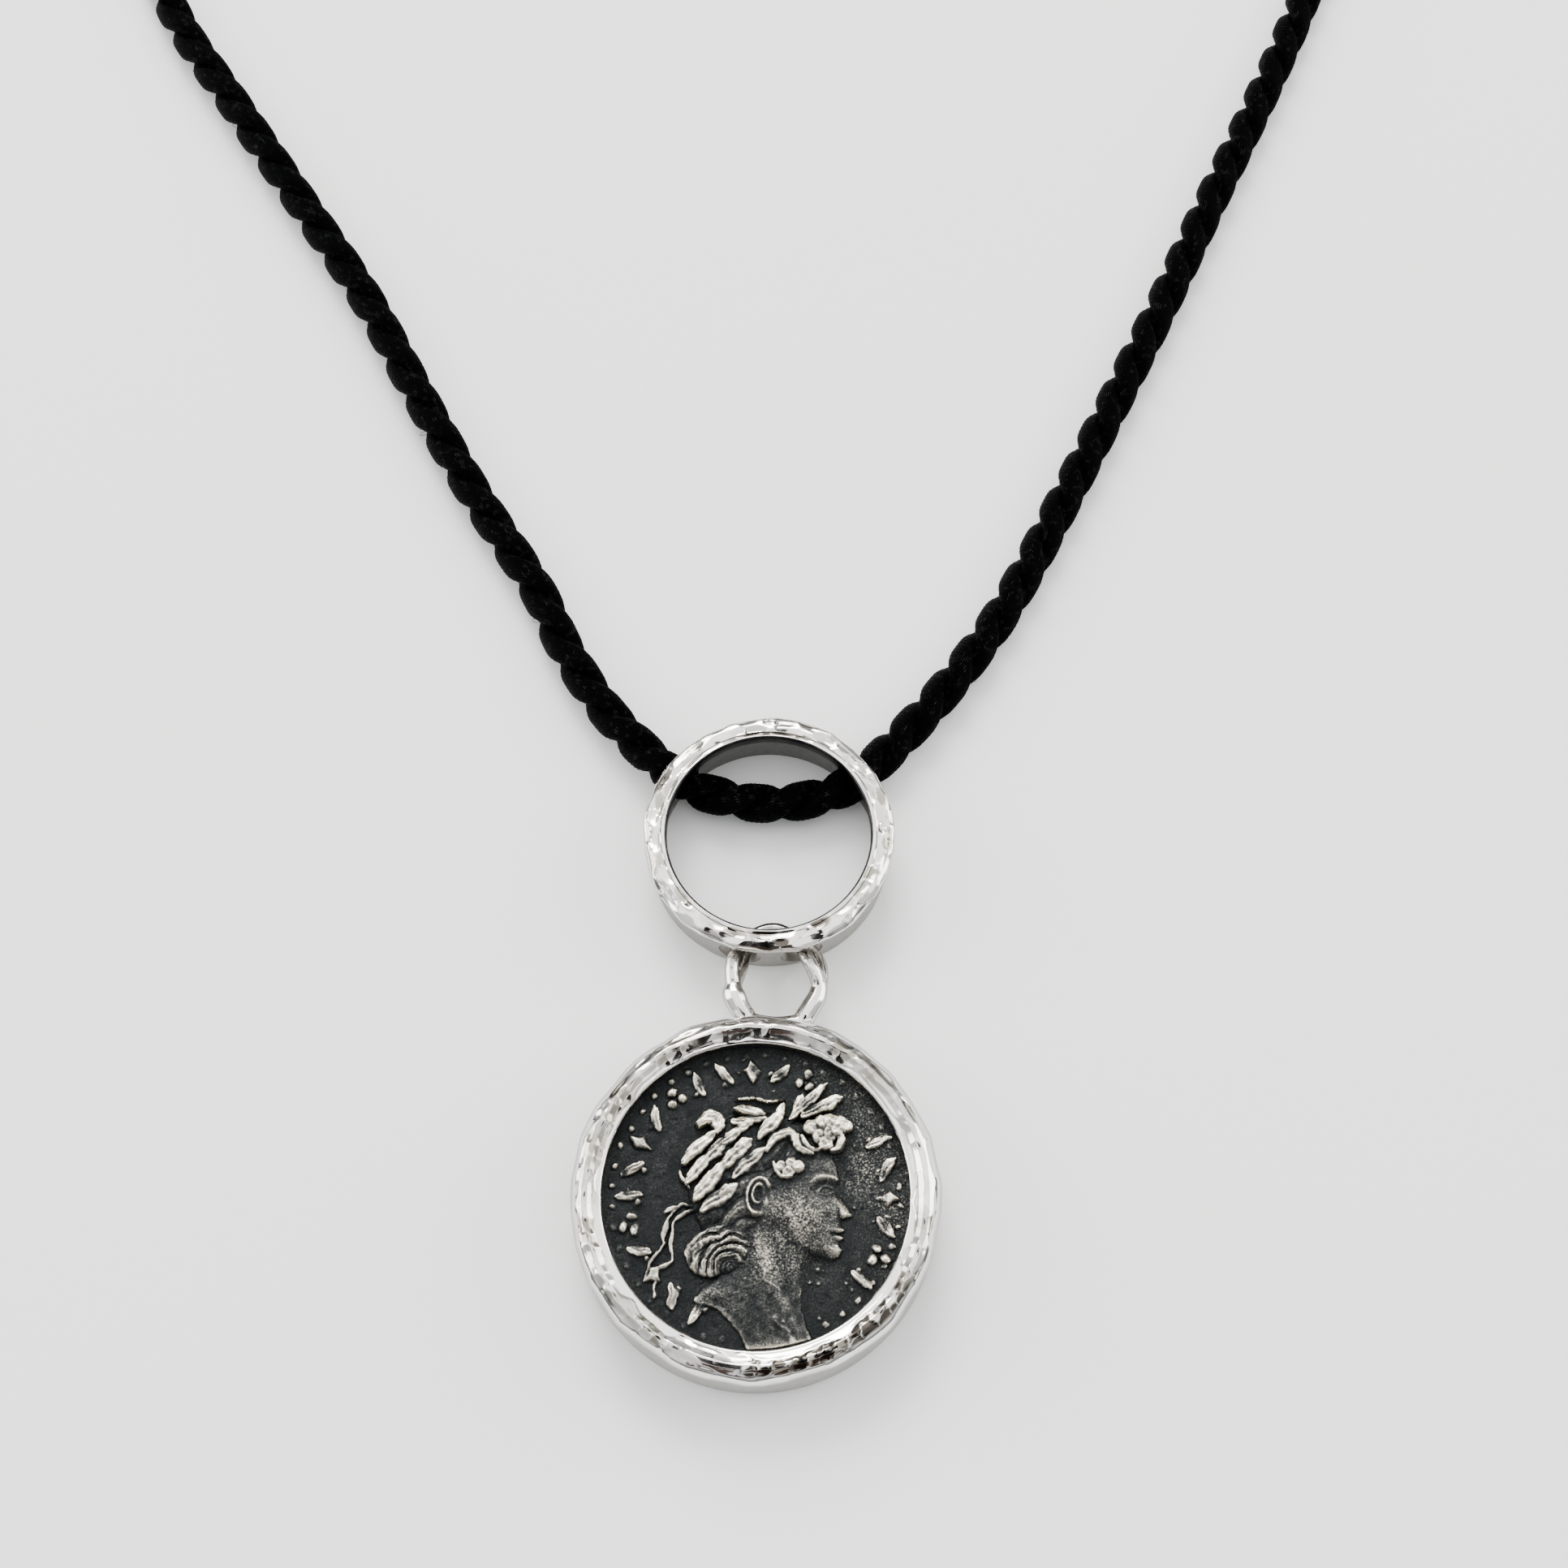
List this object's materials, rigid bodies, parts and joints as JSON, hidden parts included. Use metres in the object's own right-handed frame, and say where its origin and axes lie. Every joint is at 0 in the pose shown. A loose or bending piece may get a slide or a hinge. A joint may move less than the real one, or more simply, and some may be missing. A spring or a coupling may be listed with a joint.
{
  "type": "coin pendant",
  "caption": "Round coin with a raised laurel-wreathed head in a hammered bezel, hung by a forked loop from a drilled bail ring on a twisted cord with a plain barrel clasp.",
  "frame": {"origin": "on the surface that the pendant lies on, under the middle of the pendant's length and width, cord and clasp left out", "axes": "+Z out of the coin's face, +Y up the drop from the coin to the bail ring, +X to the wearer's left, which is the right of someone looking at the face"},
  "size_m": [0.0981, 0.1964, 0.0048],
  "materials": {
    "hammered_silver": "polished silver, hammered on the front, satin on the side walls",
    "oxidised_silver": "dark oxidised silver, rubbed bright on the relief",
    "cord_satin": "black satin, two strands twisted",
    "clasp_metal": "satin steel"
  },
  "bodies": {
    "root": {"bail_ring": "hammered_silver", "coin_bezel": "hammered_silver", "coin": "oxidised_silver", "cord": "cord_satin", "clasp": "clasp_metal"}
  },
  "joints": []
}
